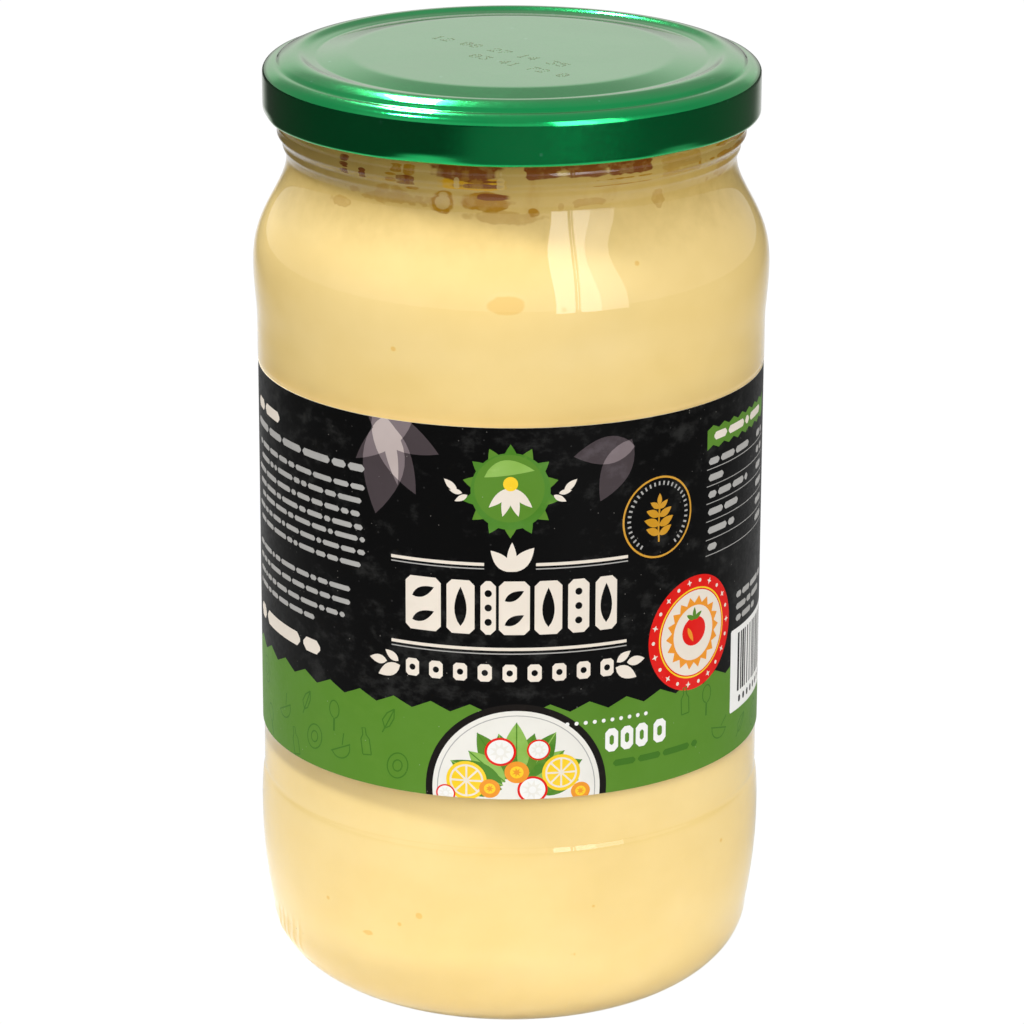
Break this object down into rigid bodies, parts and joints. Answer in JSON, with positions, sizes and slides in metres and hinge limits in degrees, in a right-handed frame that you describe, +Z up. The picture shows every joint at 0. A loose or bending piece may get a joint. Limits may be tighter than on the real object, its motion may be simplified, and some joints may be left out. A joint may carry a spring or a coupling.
{
  "type": "mayonnaise jar",
  "caption": "Full glass jar of mayonnaise with a waisted neck, rounded bumper bands, a dark wraparound paper label and a shut green metal twist-off lid.",
  "frame": {"origin": "centre of the jar's base, on the surface that it stands on", "axes": "+Z up along the jar's axis, -Y towards the front of the label, +X to the right of the label"},
  "size_m": [0.0894, 0.0894, 0.1672],
  "materials": {
    "clear_glass": "clear, smooth, fire-polished",
    "mayonnaise": "pale yellow cream, soft sheen",
    "label_paper": "black printed paper, satin",
    "lid_lacquer": "glossy green lacquer on tinplate"
  },
  "bodies": {
    "root": {"glass_jar": "clear_glass", "mayonnaise": "mayonnaise", "label": "label_paper", "lid": "lid_lacquer"}
  },
  "joints": []
}
